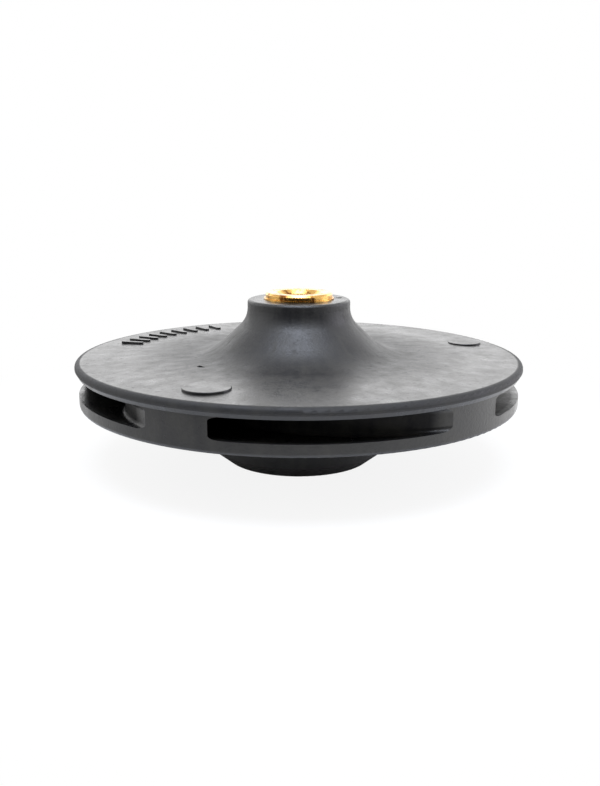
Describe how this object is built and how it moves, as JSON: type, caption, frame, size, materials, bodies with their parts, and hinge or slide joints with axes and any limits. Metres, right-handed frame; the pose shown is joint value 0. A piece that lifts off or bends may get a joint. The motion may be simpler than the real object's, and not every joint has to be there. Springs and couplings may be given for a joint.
{
  "type": "pump impeller",
  "caption": "Closed centrifugal pump impeller of black moulded plastic with spiral vanes between two shrouds, an eye ring and a threaded brass insert in its hub.",
  "frame": {"origin": "on the axis, in the face of the eye ring that the impeller stands on", "axes": "+Z along the axis from the eye to the hub; the first vane's tip lies towards -X and -Y"},
  "size_m": [0.127, 0.127, 0.0485],
  "materials": {
    "moulded_plastic": "satin as moulded, glass-filled",
    "turned_brass": "bright turned"
  },
  "bodies": {
    "root": {"impeller_body": "moulded_plastic", "brass_insert": "turned_brass"}
  },
  "joints": []
}
